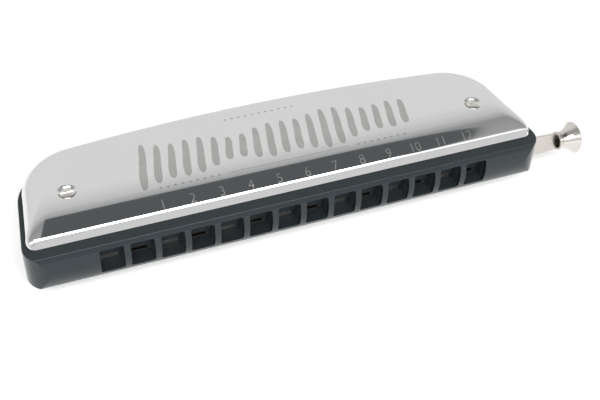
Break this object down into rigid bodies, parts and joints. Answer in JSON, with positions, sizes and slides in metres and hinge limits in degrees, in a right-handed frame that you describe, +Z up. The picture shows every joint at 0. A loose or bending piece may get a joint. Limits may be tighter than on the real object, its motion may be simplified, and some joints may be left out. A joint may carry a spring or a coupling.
{
  "type": "chromatic harmonica",
  "caption": "Chromatic harmonica: moulded comb with a row of rectangular mouth holes, two pressed metal covers over reed plates, and a spring-returned slide with a flared push button.",
  "frame": {"origin": "middle of the bottom cover's flat face, on the middle plane of the hole row", "axes": "+X along the mouth holes towards the slide button, -Y towards the player, +Z up through the covers"},
  "size_m": [0.1857, 0.0463, 0.0244],
  "materials": {
    "comb_plastic": "satin moulded plastic, dark slate",
    "cover_chrome": "mirror polished",
    "slide_nickel": "fine satin nickel",
    "button_nickel": "polished nickel",
    "spring_steel": "bright steel wire",
    "plate_brass": "machined",
    "reed_bronze": "fine ground",
    "rivet_brass": "turned",
    "valve_film": "thin matt film",
    "plate_screw_steel": "zinc plated",
    "screw_nickel": "nickel plated"
  },
  "bodies": {
    "instrument": {"comb": "comb_plastic", "top_cover": "cover_chrome", "bottom_cover": "cover_chrome", "slide_spring": "spring_steel", "slide_stop_pin": "spring_steel", "upper_reed_plate": "plate_brass", "lower_reed_plate": "plate_brass", "left_cover_screw": "screw_nickel", "right_cover_screw": "screw_nickel", "left_cover_nut": "screw_nickel", "right_cover_nut": "screw_nickel", "upper_blow_reeds": "reed_bronze", "upper_blow_rivets": "rivet_brass", "upper_blow_valves": "valve_film", "upper_draw_reeds": "reed_bronze", "upper_draw_rivets": "rivet_brass", "upper_draw_valves": "valve_film", "upper_reed_plate_screws": "plate_screw_steel", "lower_blow_reeds": "reed_bronze", "lower_blow_rivets": "rivet_brass", "lower_blow_valves": "valve_film", "lower_draw_reeds": "reed_bronze", "lower_draw_rivets": "rivet_brass", "lower_draw_valves": "valve_film", "lower_reed_plate_screws": "plate_screw_steel"},
    "slide_assembly": {"slide": "slide_nickel", "slide_button": "button_nickel"}
  },
  "joints": [
    {"name": "slide_push", "type": "slide", "parent": "instrument", "child": "slide_assembly", "axis": [-1, 0, 0], "range_m": [0, 0.0061], "stiffness_N_per_m": 150, "springref_m": -0.01, "deforming": ["slide_spring"]}
  ]
}
